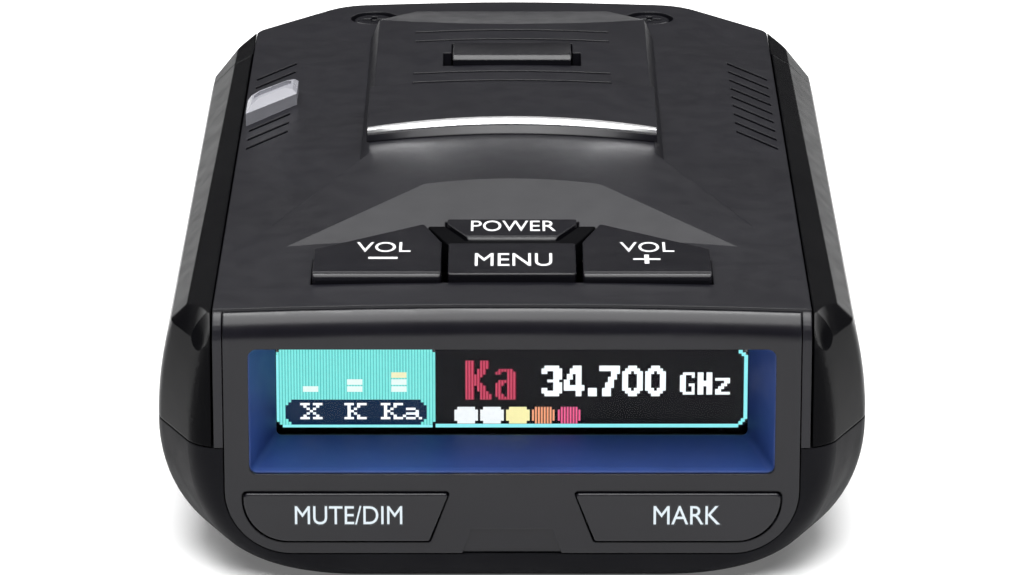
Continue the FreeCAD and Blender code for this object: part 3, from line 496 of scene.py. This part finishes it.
for index, (tint, colour, striped) in enumerate(BLOCK_COLOURS):
    screen_piece(f"screen_block_{tint}", block_drawer(index, striped),
                 glow(f"screen_block_{tint}_glow", colour, 1.1))
screen_piece("screen_outline", draw_outline, glow("screen_cyan_glow", (0.26, 0.80, 0.84), 1.15))


# ---- legends ----------------------------------------------------------------------------------
INK_HEIGHT = 0.012 * MM
INK = moulded("legend_ink", (0.70, 0.70, 0.71), (0.78, 0.78, 0.79), (0.45, 0.55), 6000.0, 0.002, 0.4)
# Glowing ink for the front keys' legends: a painted highlight, since the print itself is no lamp.
PAINTED_GLOW_INK = glow("legend_painted_glow_ink", (0.76, 0.85, 0.90), 1.1)


def embolden(mesh, amount):
    """Push the letters' outlines outwards by amount, measured square to each side."""
    work = bmesh.new()
    work.from_mesh(mesh)
    shifts = []
    for vertex in work.verts:
        sides = [face.normal for face in vertex.link_faces if abs(face.normal.z) < 0.5]
        if sides:
            out = sum(sides, Vector()).normalized()
            shifts.append((vertex, out * (amount / max(0.4, out.dot(sides[0])))))
    for vertex, shift in shifts:
        vertex.co += shift
    work.to_mesh(mesh)
    work.free()


def legend(name, words, body, material, centre, width, height, upright, boldness):
    """Raised print of the given width and height, lying on a key top or upright on a front key."""
    curve = bpy.data.curves.new(name, "FONT")
    curve.body = words
    curve.resolution_u = 6
    curve.extrude = 0.1
    text = bpy.data.objects.new(name + "_curve", curve)
    bpy.context.scene.collection.objects.link(text)
    bpy.context.view_layer.update()
    mesh = bpy.data.meshes.new_from_object(text.evaluated_get(bpy.context.evaluated_depsgraph_get()))
    bpy.data.objects.remove(text)
    embolden(mesh, boldness)
    xs = [v.co.x for v in mesh.vertices]
    ys = [v.co.y for v in mesh.vertices]
    scale_x, scale_y = width / (max(xs) - min(xs)), height / (max(ys) - min(ys))
    mid_x, mid_y = (max(xs) + min(xs)) / 2, (max(ys) + min(ys)) / 2
    for vertex in mesh.vertices:
        across = (vertex.co.x - mid_x) * scale_x
        along = (vertex.co.y - mid_y) * scale_y
        out = INK_HEIGHT if vertex.co.z > 0 else 0.0
        if upright:
            vertex.co = Vector((centre[0] + across, centre[1] - out, centre[2] + along))
        else:
            vertex.co = Vector((centre[0] + across, centre[1] + along, centre[2] + out))
    mesh.name = name
    mesh.materials.clear()
    mesh.materials.append(material)
    piece = bpy.data.objects.new(name, mesh)
    bpy.context.scene.collection.objects.link(piece)
    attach(piece, body)
    return piece


def key_legend(name, words, body, x, y, width, height, boldness=0.012):
    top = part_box(body + "_key")[1].z
    return legend(name, words, body, INK, (x * MM, y * MM, top), width * MM, height * MM, False, boldness)


key_legend("legend_power", "POWER", "power", 0.15, -32.75, 8.6, 3.6)
key_legend("legend_menu", "MENU", "menu", 0.15, -43.9, 7.7, 4.2)
key_legend("legend_volume_down", "VOL", "volume_down", -12.75, -39.8, 5.45, 3.3)
key_legend("legend_volume_down_mark", "-", "volume_down", -12.75, -43.35, 2.9, 0.65, 0.0)
key_legend("legend_volume_up", "VOL", "volume_up", 13.4, -39.8, 5.45, 3.3)
key_legend("legend_volume_up_mark", "+", "volume_up", 13.3, -43.75, 2.7, 2.9, 0.0)

# The front key legends use the glowing ink, a painted highlight on the print.
for name, words, body, x, width in (("legend_mute", "MUTE/DIM", "mute", -15.95, 10.6),
                                    ("legend_mark", "MARK", "mark", 17.1, 6.7)):
    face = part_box(body + "_key")[0].y
    legend(name, words, body, PAINTED_GLOW_INK, (x * MM, face, 7.25 * MM), width * MM, 2.05 * MM, True, 0.026)


# ---- floor, light and camera ----------------------------------------------------------------
def make_floor():
    size = 3.0
    mesh = bpy.data.meshes.new("floor")
    corners = [(-size, -size, 0), (size, -size, 0), (size, size, 0), (-size, size, 0)]
    mesh.from_pydata(corners, [], [(0, 1, 2, 3)])
    floor = bpy.data.objects.new("floor", mesh)
    bpy.context.scene.collection.objects.link(floor)
    material, nodes, links, shader = new_material("floor_finish")
    cloud = noise(nodes, links, coordinates(nodes, links), 30.0, 4.0)
    links.new(ramp(nodes, links, cloud, [(0.3, (0.86, 0.86, 0.86)), (0.7, (0.90, 0.90, 0.90))]),
              shader.inputs["Base Color"])
    shader.inputs["Roughness"].default_value = 0.9
    shader.inputs["Specular IOR Level"].default_value = 0.1
    shader.inputs["Emission Color"].default_value = (1.0, 1.0, 1.0, 1.0)
    shader.inputs["Emission Strength"].default_value = 0.15
    mesh.materials.append(material)


def area_light(name, place, target, size, power, colour=(1.0, 1.0, 1.0)):
    data = bpy.data.lights.new(name, "AREA")
    data.shape = "RECTANGLE"
    data.size, data.size_y = size
    data.energy = power
    data.color = colour
    lamp = bpy.data.objects.new(name, data)
    bpy.context.scene.collection.objects.link(lamp)
    lamp.location = place
    lamp.rotation_euler = (Vector(target) - Vector(place)).to_track_quat("-Z", "Y").to_euler()
    return lamp


def make_world(strength):
    world = bpy.data.worlds.new("studio")
    world.use_nodes = True
    world.node_tree.nodes["Background"].inputs["Color"].default_value = (1.0, 1.0, 1.0, 1.0)
    world.node_tree.nodes["Background"].inputs["Strength"].default_value = strength
    bpy.context.scene.world = world


def make_camera():
    """Eye level, slightly above the deck, looking down the object from its display end."""
    data = bpy.data.cameras.new("camera")
    data.sensor_width = 36.0
    data.lens = 196.07
    data.clip_start = 0.01
    camera = bpy.data.objects.new("camera", data)
    bpy.context.scene.collection.objects.link(camera)
    camera.location = (0.0, -0.56805, 0.196566)
    camera.rotation_euler = (math.radians(72.0), 0.0, 0.0)
    bpy.context.scene.camera = camera


make_floor()
make_world(0.05)
area_light("overhead_softbox", (0.0, 0.2, 1.1), (0.0, 0.0, 0.0), (2.2, 1.6), 4.0)
area_light("brow_strip", (0.0, -0.10, 0.90), (0.0, -0.05, 0.03), (0.9, 0.12), 6.5)
area_light("front_softbox", (0.0, -0.45, 0.98), (0.0, -0.05, 0.03), (0.9, 0.80), 16.0)
area_light("back_strip", (0.0, 0.85, 0.85), (0.0, 0.0, 0.03), (2.4, 0.4), 9.0)
make_camera()
bpy.context.scene.view_settings.view_transform = "Standard"
